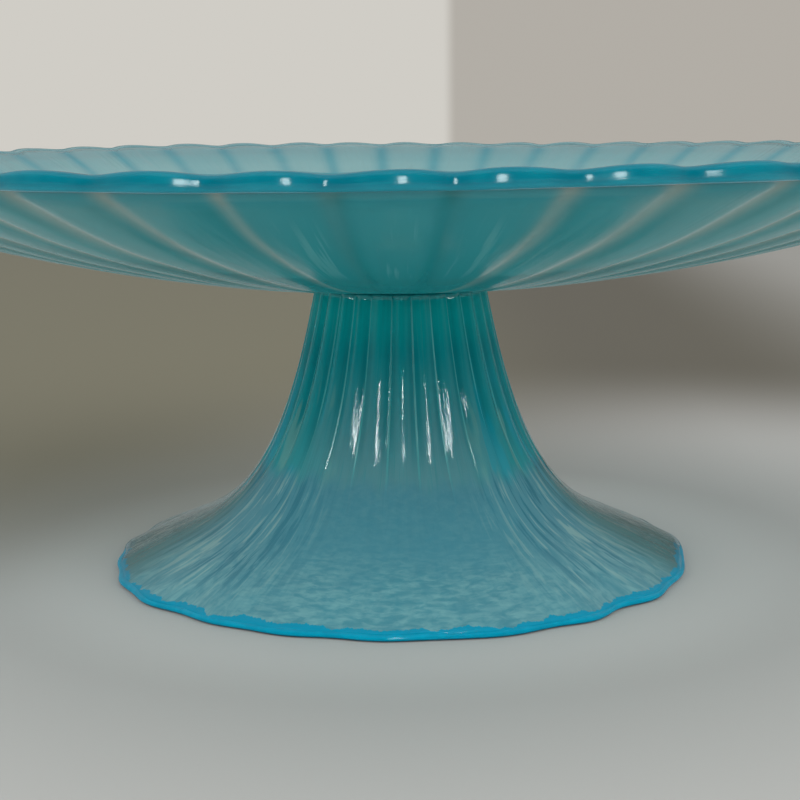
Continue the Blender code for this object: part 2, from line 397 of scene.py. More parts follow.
def build_dish_lip(material):
    angle = angles_for(DISH_VALLEYS, BEAD_STEPS)
    lobe = lobe_shape(angle)
    fat = ring_noise(seed=31, low=9, high=40, count=16)
    beads = value_noise(columns(np.sin(angle) * 9, np.cos(angle) * 9, 0.0), 8)
    size = (0.82 + 0.18 * lobe.crest) * (1 + 0.02 * fat(angle)) * (1 + 0.03 * beads)
    edge_r, edge_z = scallop(DISH_LIP_R, 0.0, angle, lobe)
    cos_tilt, sin_tilt = math.cos(DISH_LIP_TILT), math.sin(DISH_LIP_TILT)
    sheet = Sheet(angle)
    for turn in np.linspace(0, TAU, 36, endpoint=False):
        out, up = super_ellipse(DISH_LIP_HALF, 3.8, turn)
        out, up = out * (0.95 + 0.05 * size), up * size
        r = DISH_LIP_R + out * cos_tilt - up * sin_tilt
        z = underside(DISH_LIP_R) + DISH_LIP_LIFT + out * sin_tilt + up * cos_tilt
        sheet.add_row(to_xyz(r + (edge_r - DISH_LIP_R), angle, z + edge_z), turn / TAU,
                      groove=lobe.groove, crest=lobe.crest, nose=math.cos(turn),
                      up=math.sin(turn), wide=np.exp(-((lobe.near / 1.3) ** 2)))
    return sheet.build_closed("dish_lip_glass", material)


# ---- Foot -----------------------------------------------------------------------------
# Bezier outline (radius, z) from the neck to the edge; each handle is a length and an angle
NECK_END = np.array([21.8, 70.0]) * MM
NECK_HANDLE = NECK_END + 60.73 * MM * np.array([math.sin(0.1894), -math.cos(0.1894)])
EDGE_HANDLE = (np.array([71.0, 2.54]) * MM
               + 25.02 * MM * np.array([-math.cos(0.4669), math.sin(0.4669)]))
EDGE_END = np.array([73.05, 1.52]) * MM

FLUTE_VALLEYS = uneven(FLUTES, seed=17, spread=0.55)
flute_phase = phase_of(FLUTE_VALLEYS)
# Phases of the mesh columns of one flute
FLUTE_STEPS = (0.0, 0.03, 0.06, 0.10, 0.15, 0.21, 0.28, 0.36, 0.45,
               0.55, 0.64, 0.72, 0.79, 0.85, 0.90, 0.94, 0.97)
flute_rng = np.random.default_rng(51)
FLUTE_END = flute_rng.normal(0, 3.2 * MM, FLUTES + 1)  # height at which each fades out
FLUTE_DEPTH = 1 + flute_rng.normal(0, 0.12, FLUTES + 1)
edge_waves = ring_noise(seed=41, low=6, high=24, count=16)
slow_waves = ring_noise(seed=42, low=2, high=6, count=6)


def foot_waviness(angle):
    return (0.40 * edge_waves(angle) + 0.25 * slow_waves(angle)) * MM


def outline(t):
    t = np.asarray(t)[..., None]
    s = 1 - t
    return (s**3 * NECK_END + 3 * s * s * t * NECK_HANDLE
            + 3 * s * t * t * EDGE_HANDLE + t**3 * EDGE_END)


def outline_normal(t):
    """Unit normal (radius, z), outwards and up."""
    s = 1 - t
    d = (3 * s * s * (NECK_HANDLE - NECK_END) + 6 * s * t * (EDGE_HANDLE - NECK_HANDLE)
         + 3 * t * t * (EDGE_END - EDGE_HANDLE))
    d = d / np.linalg.norm(d)
    return np.array([-d[1], d[0]])


def even_steps(count):
    """t values that step evenly along the outline."""
    t = np.linspace(0, 1, 2000)
    lengths = np.linalg.norm(np.diff(outline(t), axis=0), axis=1)
    s = np.concatenate([[0], np.cumsum(lengths)])
    return np.interp(np.linspace(0, s[-1], count), s, t)


def flute_shape(angle):
    """crest: 1 mid flute, 0 in the valley; valley: 1 on the narrow valley line."""
    phase, index, width = flute_phase(angle)
    near = np.minimum(phase, 1 - phase) * width
    return SimpleNamespace(crest=(0.5 - 0.5 * np.cos(TAU * phase)) ** 0.78,
                           valley=np.exp(-((near / 1.05) ** 2)),
                           depth=FLUTE_DEPTH[index], end=FLUTE_END[index])


def add_foot_row(sheet, flute, t, inner):
    angle = sheet.angle
    normal = outline_normal(t)
    wall = FOOT_WALLS[0] * (1 - t) + FOOT_WALLS[1] * t
    r, z = outline(t) - normal * wall if inner else outline(t)
    fade = ease(z, 19 * MM + flute.end, 44 * MM + flute.end)
    if inner:
        push = 0.25 * MM * (1 - flute.crest) * flute.depth * fade
    else:
        push = -1.15 * MM * (1 - flute.crest) * flute.depth * fade
        push = push - 0.18 * MM * flute.valley * ease(z, 10 * MM, 26 * MM) * (1 - fade)
    # small dimples near the edge and softer ones over the whole flare
    smooth = to_xyz(r, angle, z)
    dimples = (value_noise(smooth / (4.2 * MM), 61) * 0.10
               + value_noise(smooth / (2.3 * MM) + 3.1, 62) * 0.035)
    soft = value_noise(smooth / (15 * MM) + 9.7, 63) * 0.22
    hammered = dimples * ease(r, 44 * MM, 60 * MM) + soft * 0.6
    push = push + hammered * MM * ease(z, 40 * MM, 12 * MM) * (0.6 if inner else 1.0)
    push = push * (1 - ease(t, 0.97, 1.0) * 0.6)
    r2 = r + normal[0] * push + foot_waviness(angle) * ease(t, 0.80, 0.99)
    z2 = np.maximum(z + normal[1] * push, 0.35 * MM)
    shift = FOOT_SHIFT * (1 - np.clip(z2, 0, NECK_Z) / NECK_Z)[..., None] ** 2
    sheet.add_row(to_xyz(r2, angle, z2) + shift, t, valley=flute.valley, crest=flute.crest,
                  hh=z / NECK_Z, inner=1.0 if inner else 0.0, fade=fade, ss=t)


def build_foot(material):
    angle = angles_for(FLUTE_VALLEYS, FLUTE_STEPS)
    following = np.roll(angle, -1)
    middles = 0.5 * (angle + following + TAU * (following < angle))
    angle = np.sort(np.concatenate([angle, middles]) % TAU)
    flute = flute_shape(angle)
    sheet = Sheet(angle)
    for t in even_steps(70):
        add_foot_row(sheet, flute, float(t), inner=False)
    for t in even_steps(34)[::-1]:
        add_foot_row(sheet, flute, float(t), inner=True)
    return sheet.build_closed("foot_glass", material)


def build_foot_lip(material):
    columns_round = 720
    angle = np.arange(columns_round) / columns_round * TAU
    fat = ring_noise(seed=43, low=5, high=30, count=14)
    sheet = Sheet(angle)
    for turn in np.linspace(0, TAU, 26, endpoint=False):
        out, up = super_ellipse(FOOT_LIP_HALF, 2.3, turn)
        r = FOOT_LIP_R + out * (1 + 0.06 * fat(angle)) + foot_waviness(angle)
        z = max(FOOT_LIP_Z + up, 0.0)
        z = z + 0.05 * MM * fat(angle + 1.0) * max(0.0, math.sin(turn))
        sheet.add_row(to_xyz(r, angle, z) + FOOT_SHIFT, turn / TAU,
                      nose=math.cos(turn), up=math.sin(turn))
    return sheet.build_closed("foot_lip_glass", material)


def build_joint(material):
    """A round-edged disc between neck and dish, a little dished underneath."""
    count = 96
    radius = JOINT_HIGH.x + 0.25 * MM
    low, high = JOINT_LOW.z, DISH_LOW_Z + 0.1 * MM
    edge, sag = 0.6 * MM, 0.9 * MM
    profile = [(radius * (0.12 + 0.88 * i / 8) - edge * (i == 8), high) for i in range(9)]
    for i in range(1, 8):
        a = math.pi * i / 8
        profile.append((radius - edge + edge * math.sin(a),
                        (high + low) / 2 + (high - low) / 2 * math.cos(a)))
    for i in range(9):
        s = 1 - i / 8
        profile.append((radius * (0.12 + 0.88 * s) - edge * (i == 0),
                        low - sag * (1 - s * s) + sag))
    angle = np.arange(count) / count * TAU
    rings = [to_xyz(r, angle, z) for r, z in profile]
    points = np.concatenate(rings + [[[0, 0, high], [0, 0, profile[-1][1]]]])
    quads, tris = capped_faces(len(profile), count)
    values = {"rr": np.linalg.norm(points[:, :2], axis=1) / radius}
    flow = points / (10 * MM)
    return mesh_object("joint_glass", points, quads, tris, values, flow, material)


# ---- Shader graphs ----------------------------------------------------------------------
class Graph:
    """Short calls that add nodes to a material or world and return their outputs."""

    def __init__(self, owner, output="ShaderNodeOutputMaterial"):
        self.owner = owner
        owner.use_nodes = True
        self.tree = owner.node_tree
        self.tree.nodes.clear()
        self.output = self.node(output)

    def node(self, kind, inputs=None, **props):
        node = self.tree.nodes.new(kind)
        for key, value in props.items():
            setattr(node, key, value)
        for key, value in (inputs or {}).items():
            self.put(node.inputs[key], value)
        return node

    def put(self, socket, value):
        """Links or sets a socket; None leaves it as it is."""
        if value is None:
            return
        if isinstance(value, bpy.types.NodeSocket):
            self.tree.links.new(value, socket)
        elif isinstance(value, tuple):
            alpha = (1.0,) if len(value) == 3 and socket.type == "RGBA" else ()
            socket.default_value = value + alpha
        else:
            socket.default_value = value

    def finish(self, shader):
        self.put(self.output.inputs["Surface"], shader)
        return self.owner

    def attr(self, name):
        return self.node("ShaderNodeAttribute", attribute_name=name).outputs["Fac"]

    def flow(self):
        return self.node("ShaderNodeAttribute", attribute_name="flow").outputs["Vector"]

    def coords(self):
        return self.node("ShaderNodeTexCoord").outputs["Object"]

    def split(self, vector):
        return self.node("ShaderNodeSeparateXYZ", {0: vector}).outputs

    def math(self, operation, a, b=0.0, clamp=False):
        inputs = {0: a, 1: b, 2: 0.0}
        node = self.node("ShaderNodeMath", inputs, operation=operation, use_clamp=clamp)
        return node.outputs[0]

    def mul(self, first, *rest):
        return self.math("MULTIPLY", first, self.mul(*rest)) if rest else first

    def add(self, a, b, clamp=False):
        return self.math("ADD", a, b, clamp)

    def sub(self, a, b):
        return self.math("SUBTRACT", a, b)

    def flip(self, value):
        return self.sub(1.0, value)

    def absolute(self, value):
        return self.math("ABSOLUTE", value)

    def larger(self, a, b):
        return self.math("MAXIMUM", a, b)

    def ramp(self, value, span, to=(0.0, 1.0)):
        """Smooth ramp between the two ends of the span, which may run downwards."""
        inputs = {"Value": value, "From Min": span[0], "From Max": span[1],
                  "To Min": to[0], "To Max": to[1]}
        node = self.node("ShaderNodeMapRange", inputs, interpolation_type="SMOOTHSTEP",
                         clamp=True)
        return node.outputs["Result"]

    def mix(self, under, over, *masks, amount=None):
        """Lays one colour over another where all masks are 1, at the given amount."""
        factors = masks if amount is None else masks + (amount,)
        inputs = {"Factor": self.mul(*factors), 6: under, 7: over}
        node = self.node("ShaderNodeMix", inputs, data_type="RGBA", blend_type="MIX",
                         clamp_factor=True)
        return node.outputs[2]

    def noise(self, vector, scale, detail=2, rough=0.5, distort=0.0):
        inputs = {"Vector": vector, "Scale": scale, "Detail": detail, "Roughness": rough,
                  "Distortion": distort}
        return self.node("ShaderNodeTexNoise", inputs).outputs["Fac"]

    def streaks(self, flow, stretch, **settings):
        """Noise along the flow: stretch is its fineness round (twice) and along the outline."""
        mapping = self.node("ShaderNodeMapping", {"Vector": flow, "Scale": stretch})
        return self.noise(mapping.outputs["Vector"], 1.0, **settings)

    def bump(self, height, strength, distance):
        inputs = {"Height": height, "Strength": strength, "Distance": distance}
        return self.node("ShaderNodeBump", inputs).outputs["Normal"]

    def blend(self, share, first, second):
        inputs = {0: share, 1: first.outputs[0], 2: second.outputs[0]}
        return self.node("ShaderNodeMixShader", inputs)

    def glass(self, colour, glow, density, tint, rough, back, normal=None, ior=1.5):
        """Opal glass: part lets the view through with a tint, part scatters light
        both ways (back is the share sent through). The clear part has a gloss."""
        clear = self.node("ShaderNodeBsdfTransparent", {"Color": tint})
        body = self.node("ShaderNodeBsdfPrincipled", {
            "Base Color": colour, "Roughness": rough, "IOR": ior, "Normal": normal})
        through = self.node("ShaderNodeBsdfTranslucent", {"Color": glow, "Normal": normal})
        gloss = self.node("ShaderNodeBsdfGlossy", {
            "Color": (1, 1, 1), "Roughness": rough, "Normal": normal})
        fresnel = self.node("ShaderNodeFresnel", {"IOR": ior, "Normal": normal})
        milk = self.blend(back, body, through)
        thin = self.blend(fresnel.outputs[0], clear, gloss)
        return self.finish(self.blend(density, thin, milk).outputs[0])

    def flat_dot(self, a, b):
        a, b = self.split(a), self.split(b)
        return self.add(self.mul(a[0], b[0]), self.mul(a[1], b[1]))

    def side_on(self, flow):
        """0 where the flow runs towards the eye, up to 1 or -1 where seen from one side."""
        a = self.split(self.node("ShaderNodeNewGeometry").outputs["Incoming"])
        b = self.split(flow)
        return self.sub(self.mul(a[0], b[1]), self.mul(a[1], b[0]))

    def facing(self, flow):
        """1 where the piece's outer side is turned to the eye, -1 on the far side."""
        return self.flat_dot(self.node("ShaderNodeNewGeometry").outputs["Incoming"], flow)

    def grazing(self, flow):
        """1 where the outer side is seen at a low angle or from inside, 0 seen squarely."""
        geometry = self.node("ShaderNodeNewGeometry").outputs
        dot = self.node("ShaderNodeVectorMath", {0: geometry["Incoming"],
                                                 1: geometry["Normal"]},
                        operation="DOT_PRODUCT").outputs["Value"]
        out = self.flat_dot(geometry["Normal"], flow)
        return self.larger(self.ramp(dot, span=(0.46, 0.34)),
                           self.ramp(out, span=(0.0, -0.1)))


def material_graph(name):
    return Graph(bpy.data.materials.new(name))


# ---- Dish materials. "rr" is the radius as a share of DISH_R -------------------------------
def underside_colour(g, flow, turn, oblique, cloud, groove, crest, rr, side):
    # deep teal near the joint, greyer towards the rim, cloudy
    low = g.mix((0.006, 0.185, 0.192), (0.102, 0.345, 0.375), g.ramp(rr, span=(0.15, 0.9)))
    low = g.mix(low, (0.085, 0.29, 0.285), g.ramp(cloud, span=(0.4, 0.65)), amount=0.4)
    # painted shade: each lobe is darker on its side turned from the eye
    painted_lobe_shade = g.math("MAXIMUM", g.mul(side, turn, 4.0), 0.0, clamp=True)
    low = g.mix(low, (0.004, 0.135, 0.155), painted_lobe_shade, g.ramp(rr, span=(0.15, 0.4)), amount=0.75)
    # painted reflection: pale streaks on the crests of the front lobes, standing in for the
    # foot's glints mirrored in the underside
    glint_reflection_streaks = g.streaks(flow, stretch=(74, 74, 3.2), rough=0.6)
    painted_glint_fleck = g.mul(g.ramp(glint_reflection_streaks, span=(0.50, 0.64)), g.ramp(rr, span=(0.58, 0.67)),
                  g.ramp(rr, span=(0.93, 0.80)))
    front = g.ramp(g.absolute(turn), span=(0.42, 0.16))
    crests = g.mul(g.ramp(crest, span=(0.45, 0.85)), front)
    low = g.mix(low, (0.30, 0.56, 0.55), painted_glint_fleck, crests, amount=0.85)
    # greyer at the sides, bluer at the rim
    low = g.mix(low, (0.12, 0.27, 0.262), g.ramp(g.absolute(turn), span=(0.45, 0.90)),
                amount=0.22)
    low = g.mix(low, (0.075, 0.36, 0.43), g.ramp(rr, span=(0.925, 0.970)))
    # groove lines: thinner glass, with painted shade where seen end on and painted light, pale,
    # where seen from the side
    line = g.mix((0.010, 0.14, 0.155), (0.40, 0.39, 0.345), oblique)
    return g.mix(low, line, groove, g.ramp(rr, span=(0.16, 0.42)), amount=0.9)


def dish_material():
    g = material_graph("opal_dish_glass")
    names = ("groove", "crest", "rr", "under", "wide", "side")
    groove, crest, rr, under, wide, side = (g.attr(name) for name in names)
    flow = g.flow()
    turn = g.side_on(flow)
    oblique = g.ramp(g.absolute(turn), span=(0.06, 0.24))
    cloud = g.noise(g.coords(), scale=26.0, detail=3)
    low = underside_colour(g, flow, turn, oblique, cloud, groove, crest, rr, side)
    top = g.mix((0.235, 0.435, 0.470), (0.292, 0.478, 0.498),
                g.ramp(cloud, span=(0.35, 0.7)))
    top = g.mix(top, (0.070, 0.335, 0.425), wide,
                g.ramp(rr, span=(0.03, 0.16), to=(0.0, 0.92)))
    glow = g.mix((0.06, 0.42, 0.45), (0.02, 0.33, 0.34), under)
    glow = g.mix(glow, (0.25, 0.40, 0.38), groove, under, oblique)
    # denser on the underside, near the joint and at the rim
    density = g.add(g.add(0.62, g.mul(under, 0.16)),
                    g.mul(g.ramp(rr, span=(0.5, 0.2)), 0.15), clamp=True)
    rim = g.ramp(rr, span=(0.925, 0.970), to=(0.0, 0.3))
    density = g.add(density, g.mul(under, rim), clamp=True)
    ribs = g.streaks(flow, stretch=(46, 46, 1.6))
    rib_strength = g.mul(g.ramp(rr, span=(0.08, 0.34)),
                         g.ramp(under, span=(0.0, 1.0), to=(0.8, 0.22)))
    return g.glass(
        colour=g.mix(top, low, under), glow=glow, density=density,
        tint=g.mix((0.35, 0.80, 0.82), (0.75, 0.88, 0.84), groove, oblique),
        rough=g.ramp(under, span=(0.0, 1.0), to=(0.08, 0.22)),
        normal=g.bump(ribs, strength=rib_strength, distance=0.0007), back=0.45)


def lip_material():
    g = material_graph("blue_dish_lip_glass")
    crest, up, nose = g.attr("crest"), g.attr("up"), g.attr("nose")
    flow = g.flow()
    cloud = g.streaks(flow, stretch=(22, 22, 1.5), detail=3)
    colour = g.mix((0.0, 0.215, 0.29), (0.004, 0.26, 0.335), g.ramp(cloud, span=(0.35, 0.7)))
    # painted shade: darker in the valleys and on top; painted light: bright underneath
    colour = g.mix(colour, (0.0, 0.185, 0.255), g.ramp(crest, span=(0.6, 0.05)), amount=0.75)
    colour = g.mix(colour, (0.0, 0.165, 0.225), g.ramp(up, span=(0.35, 0.95)))
    colour = g.mix(colour, (0.02, 0.50, 0.63), g.ramp(up, span=(-0.1, -0.9)))
    # the inner side, and the far side of the ring, take the dish's paler colour
    far = g.mul(g.ramp(g.facing(flow), span=(0.10, -0.30)), g.ramp(nose, span=(0.75, 0.35)))
    inside = g.larger(g.ramp(nose, span=(-0.30, -0.75)), far)
    ripple = g.streaks(flow, stretch=(30, 30, 2))
    return g.glass(
        colour=g.mix(colour, (0.215, 0.390, 0.415), inside, amount=0.95),
        glow=g.mix((0.0, 0.40, 0.52), (0.004, 0.46, 0.58), g.ramp(cloud, span=(0.3, 0.7))),
        density=g.sub(0.84, g.mul(inside, 0.2)),
        tint=g.mix((0.02, 0.60, 0.70), (0.4, 0.8, 0.82), inside),
        rough=g.ramp(nose, span=(0.0, -0.35), to=(0.14, 0.4)),
        normal=g.bump(ripple, strength=0.10, distance=0.0003), back=0.4)


# ---- Foot materials. "hh" is the height as a share of NECK_Z, "ss" the outline's t ---------
def neck_colour(g, k):
    """Clear deep teal with paler lines in the valleys; k holds the foot's shared masks."""
    milky = g.mul(g.ramp(k.hh, span=(0.85, 0.46)), g.ramp(k.toward, span=(0.50, 0.92)))
    top = g.mix((0.0, 0.355, 0.40), (0.108, 0.328, 0.375), milky)
    # painted shade: darker beside each valley, to deepen the look of the flutes
    painted_flank_shade = g.mul(g.ramp(k.crest, span=(0.72, 0.25)), k.fade,
                  g.ramp(k.hh, span=(0.36, 0.50)))
    top = g.mix(top, (0.0, 0.225, 0.265), painted_flank_shade, amount=0.60)
    # painted light: brighter towards the top of the neck, lifting the shadow of the dish
    top = g.mix(top, (0.0, 0.64, 0.65), g.ramp(k.hh, span=(0.78, 0.97), to=(0.0, 0.88)))
    fine = g.streaks(k.flow, stretch=(90, 90, 7.0), rough=0.6)
    top = g.mix(top, (0.005, 0.29, 0.325), g.ramp(fine, span=(0.50, 0.68)), amount=0.35)
    top = g.mix(top, (0.10, 0.45, 0.46), g.ramp(k.streak, span=(0.58, 0.72)), amount=0.30)
    # paler valley lines: thinner glass, and partly painted light gathered in the concave
    # valleys
    top = g.mix(top, (0.10, 0.60, 0.60), k.thin, k.fade, amount=0.58)
    # patches of clearer and of creamier glass on the sides of the neck
    blot = g.streaks(k.flow, stretch=(6.5, 6.5, 3.6))
    band = g.mul(g.ramp(k.hh, span=(0.28, 0.40)), g.ramp(k.hh, span=(0.80, 0.62)), k.aside)
    top = g.mix(top, (0.0, 0.37, 0.49), g.ramp(blot, span=(0.54, 0.60)), band, amount=0.8)
    return g.mix(top, (0.22, 0.50, 0.45), g.ramp(blot, span=(0.42, 0.36)), band, amount=0.50)


def flare_colour(g, k):
    """Milky and mottled, with pale and clear streaks drawn along it."""
    flare = g.mix((0.058, 0.280, 0.350), (0.195, 0.465, 0.50),
                  g.ramp(k.mottle, span=(0.30, 0.74)))
    flare = g.mix(flare, (0.050, 0.272, 0.360), g.ramp(k.hh, span=(0.08, 0.22)), amount=0.75)
    spots = g.noise(g.coords(), scale=75.0, detail=3, rough=0.55)
    flare = g.mix(flare, (0.045, 0.268, 0.355), g.ramp(spots, span=(0.46, 0.68)), amount=0.35)
    # pale streaks at the sides: milky glass, and partly a painted reflection of the bright room
    pale = g.mul(g.ramp(k.streak, span=(0.44, 0.36)), k.aside,
                 g.ramp(k.hh, span=(0.02, 0.10)), g.ramp(k.hh, span=(0.55, 0.30)))
    flare = g.mix(flare, (0.31, 0.54, 0.52), pale, amount=0.72)
    flare = g.mix(flare, (0.0, 0.185, 0.275), k.clear_streaks, amount=0.95)
    turned = g.mul(g.ramp(k.toward, span=(0.42, 0.0)), k.low_angle)
    return g.mix(flare, (0.034, 0.178, 0.165), turned, amount=0.85)


def foot_masks(g):
    names = ("valley", "crest", "hh", "inner", "fade", "ss")
    k = SimpleNamespace(**{name: g.attr(name) for name in names})
    k.flow = g.flow()
    k.streak = g.streaks(k.flow, stretch=(30, 30, 3.6), detail=4, rough=0.6, distort=0.5)
    k.thin = g.ramp(k.valley, span=(0.70, 1.0))
    k.toward = g.facing(k.flow)
    k.low_angle = g.grazing(k.flow)
    k.aside = g.ramp(g.absolute(g.split(k.flow)[0]), span=(0.34, 0.74))  # left and right
    # mottling in front and behind, drawn-out marks at the sides
    mottle = g.streaks(k.flow, stretch=(17, 17, 46), detail=3, rough=0.60, distort=0.4)
    drawn = g.streaks(k.flow, stretch=(30, 30, 11), detail=3, rough=0.62, distort=0.9)
    k.mottle = g.add(g.mul(mottle, g.flip(k.aside)), g.mul(drawn, k.aside))
    # long clear streaks, mostly at the sides, in broad patches
    long = g.mul(g.ramp(k.streak, span=(0.51, 0.60)), g.ramp(k.hh, span=(0.03, 0.12)),
                 g.ramp(k.hh, span=(0.62, 0.40)))
    long = g.mul(long, g.add(g.mul(k.aside, 0.92), 0.08))
    broad = g.streaks(k.flow, stretch=(3.0, 3.0, 2.0))
    k.clear_streaks = g.mul(long, g.ramp(broad, span=(0.32, 0.46)))
    # height with a wavy border between flare and neck
    sway = g.streaks(k.flow, stretch=(9, 9, 0))
    k.wavy = g.add(k.hh, g.mul(g.sub(sway, 0.5), 0.10))
    k.neck = g.ramp(k.wavy, span=(0.34, 0.41))
    # a jagged blue band at the edge, seen on the near side
    jag = g.streaks(k.flow, stretch=(13, 13, 0), detail=5, rough=0.62)
    near = g.larger(g.ramp(k.toward, span=(-0.36, 0.0)), g.flip(k.low_angle))
    band_edge = g.add(k.ss, g.mul(g.sub(jag, 0.5), 0.085))
    k.rim = g.mul(g.ramp(band_edge, span=(0.976, 0.980)), near)
    return k


def foot_density(g, k):
    """Denser in the valleys and at the rim; clearer in streaks, far off and inside."""
    density = g.ramp(k.wavy, span=(0.34, 0.41), to=(0.85, 0.88))
    density = g.add(density, g.mul(k.thin, k.fade, 0.12), clamp=True)
    density = g.sub(density, g.mul(k.clear_streaks, 0.08))
    density = g.add(density, g.mul(k.rim, 0.15), clamp=True)
    far = g.mul(g.ramp(k.toward, span=(0.30, -0.30)), k.low_angle)
    density = g.mul(density, g.flip(g.mul(far, 0.45)))
    return g.mul(density, g.flip(g.mul(k.inner, 0.72)))


def foot_normal(g, k):
    """Fine streaks all over, hammering on the flare and grit on the neck."""
    hammer = g.mul(k.mottle, g.flip(k.neck), 2.6)
    grit = g.mul(g.streaks(k.flow, stretch=(60, 60, 105)), k.neck, 0.45)
    fine = g.streaks(k.flow, stretch=(60, 60, 9), detail=3, rough=0.6)
    return g.bump(g.add(g.add(fine, hammer), grit), strength=0.22, distance=0.0003)


def foot_material():
    g = material_graph("opal_foot_glass")
    k = foot_masks(g)
    colour = g.mix(flare_colour(g, k), neck_colour(g, k), k.neck)
    glow = g.mix((0.09, 0.50, 0.62), (0.0, 0.47, 0.53), k.neck)
    tint = g.mix((0.34, 0.76, 0.82), (0.10, 0.62, 0.66), k.neck)
    tint = g.mix(tint, (0.18, 0.55, 0.54), g.ramp(k.toward, span=(0.35, 0.0)), k.low_angle)
    return g.glass(
        colour=g.mix(colour, (0.0, 0.305, 0.480), k.rim, amount=0.96),
        glow=g.mix(glow, (0.0, 0.38, 0.58), k.rim), density=foot_density(g, k),
        tint=g.mix(tint, (0.95, 0.98, 1.0), k.inner, amount=0.85),
        rough=g.add(g.ramp(k.hh, span=(0.990, 0.999), to=(0.04, 0.6)),
                    g.mul(k.thin, k.fade, 0.35), clamp=True),
        normal=foot_normal(g, k), back=0.28,
        ior=g.ramp(k.rim, span=(0.0, 1.0), to=(1.5, 1.22)))


def foot_lip_material():
    g = material_graph("bright_foot_lip_glass")
    flow = g.flow()
    cloud = g.streaks(flow, stretch=(26, 26, 1.2), detail=3)
    colour = g.mix((0.0, 0.32, 0.495), (0.0, 0.375, 0.57), g.ramp(cloud, span=(0.35, 0.7)))
    toward = g.facing(flow)
    inner_side = g.mul(g.ramp(g.attr("nose"), span=(0.30, -0.10)),
                       g.ramp(toward, span=(0.05, -0.30)))
    inside = g.larger(inner_side, g.ramp(toward, span=(-0.10, -0.30)))
    # painted shade: dark where it meets the floor
    colour = g.mix(colour, (0.0, 0.07, 0.095), g.ramp(g.attr("up"), span=(-0.20, -0.60)))
    ripple = g.streaks(flow, stretch=(30, 30, 2))
    return g.glass(
        colour=g.mix(colour, (0.10, 0.245, 0.245), inside, amount=0.9),
        glow=g.mix((0.0, 0.37, 0.58), (0.10, 0.30, 0.32), inside),
        density=g.sub(0.92, g.mul(inside, 0.45)),
        tint=g.mix((0.02, 0.7, 0.95), (0.55, 0.8, 0.82), inside), rough=0.05,
        normal=g.bump(ripple, strength=0.12, distance=0.0003), back=0.25, ior=1.25)


def joint_material():
    g = material_graph("joint_glass")
    cloud = g.noise(g.flow(), scale=1.4, detail=3)
    return g.glass(colour=g.mix((0.0, 0.42, 0.44), (0.02, 0.48, 0.50), cloud),
                   glow=(0.0, 0.58, 0.60), density=0.85, tint=(0.1, 0.6, 0.62),
                   rough=0.6, back=0.5, ior=1.2)


# ---- The stand --------------------------------------------------------------------------
dish = build_dish(dish_material())
dish_lip = build_dish_lip(lip_material())
foot = build_foot(foot_material())
foot_lip = build_foot_lip(foot_lip_material())
joint = build_joint(joint_material())
for piece, cad_piece, slot in ((dish, "plate", "dish_glass"),
                               (dish_lip, "plate_rim_lip", "dish_lip_glass"),
                               (foot, "pedestal", "foot_glass"),
                               (foot_lip, "foot_rim_lip", "foot_lip_glass"),
                               (joint, "joint_disc", "joint_glass")):
    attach(piece, "root")
    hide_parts(cad_piece)

# ---- Floor and room ---------------------------------------------------------------------
scene = bpy.context.scene
scene.view_settings.view_transform = "Standard"


def floor_shade(g, x, y):
    """Painted shade on the board, how dark it looks: a band of low viewing angles behind the
    stand.
    """
    look = g.split(g.node("ShaderNodeNewGeometry").outputs["Incoming"])
    low = look[2]
    sideways = g.math("MINIMUM", g.larger(x, -0.12), 0.12)
    lean = g.mul(sideways, g.ramp(low, span=(0.14, 0.20), to=(0.0, 0.38)))
    shade = g.ramp(g.add(low, lean), span=(0.262, 0.145))
    shade = g.mul(shade, g.flip(g.mul(g.ramp(x, span=(0.15, 0.33)), 0.55)))
    shade = g.mul(shade, g.ramp(look[1], span=(-0.30, -0.75)),
                  g.ramp(y, span=(-0.16, 0.04)))
    # the height of the eye over the floor, for an eye 0.4075 m in front
    eye = g.mul(low, g.add(y, 0.4075))
    shade = g.mul(shade, g.ramp(eye, span=(0.082, 0.099)), g.ramp(eye, span=(0.145, 0.122)))
    return shade, low


def floor_material():
    """A satin board: pale from above, darker at a low angle (painted shade), pale again at the
    horizon (painted sheen).
    """
    g = material_graph("pale_floor")
    place = g.coords()
    x, y, _ = g.split(place)
    distance = g.node("ShaderNodeVectorMath", {0: place}, operation="LENGTH")
    fine = g.noise(place, scale=700.0, rough=0.6)
    broad = g.noise(place, scale=3.0)
    near = g.mix((0.318, 0.322, 0.315), (0.332, 0.335, 0.328), g.ramp(broad, span=(0.3, 0.7)))
    # painted light: paler close round the foot, lifting the shadow of the dish
    near = g.mix(near, (0.425, 0.430, 0.422),
                 g.ramp(distance.outputs["Value"], span=(0.115, 0.080)))
    shade, low = floor_shade(g, x, y)
    # the colour of the painted shade, darker to the right
    far = g.mix((0.110, 0.105, 0.069), (0.069, 0.064, 0.047), g.ramp(x, span=(-0.06, 0.10)))
    colour = g.mix(near, far, shade)
    # painted sheen: pale again near the horizon
    colour = g.mix(colour, (0.48, 0.47, 0.44), g.ramp(low, span=(0.045, 0.015)))
    body = g.node("ShaderNodeBsdfPrincipled", {
        "Base Color": g.mix(colour, (0.30, 0.30, 0.30), fine, amount=0.05),
        "Roughness": 0.6, "Specular IOR Level": 0.25,
        "Normal": g.bump(fine, strength=0.05, distance=0.0002)})
    return g.finish(body.outputs[0])


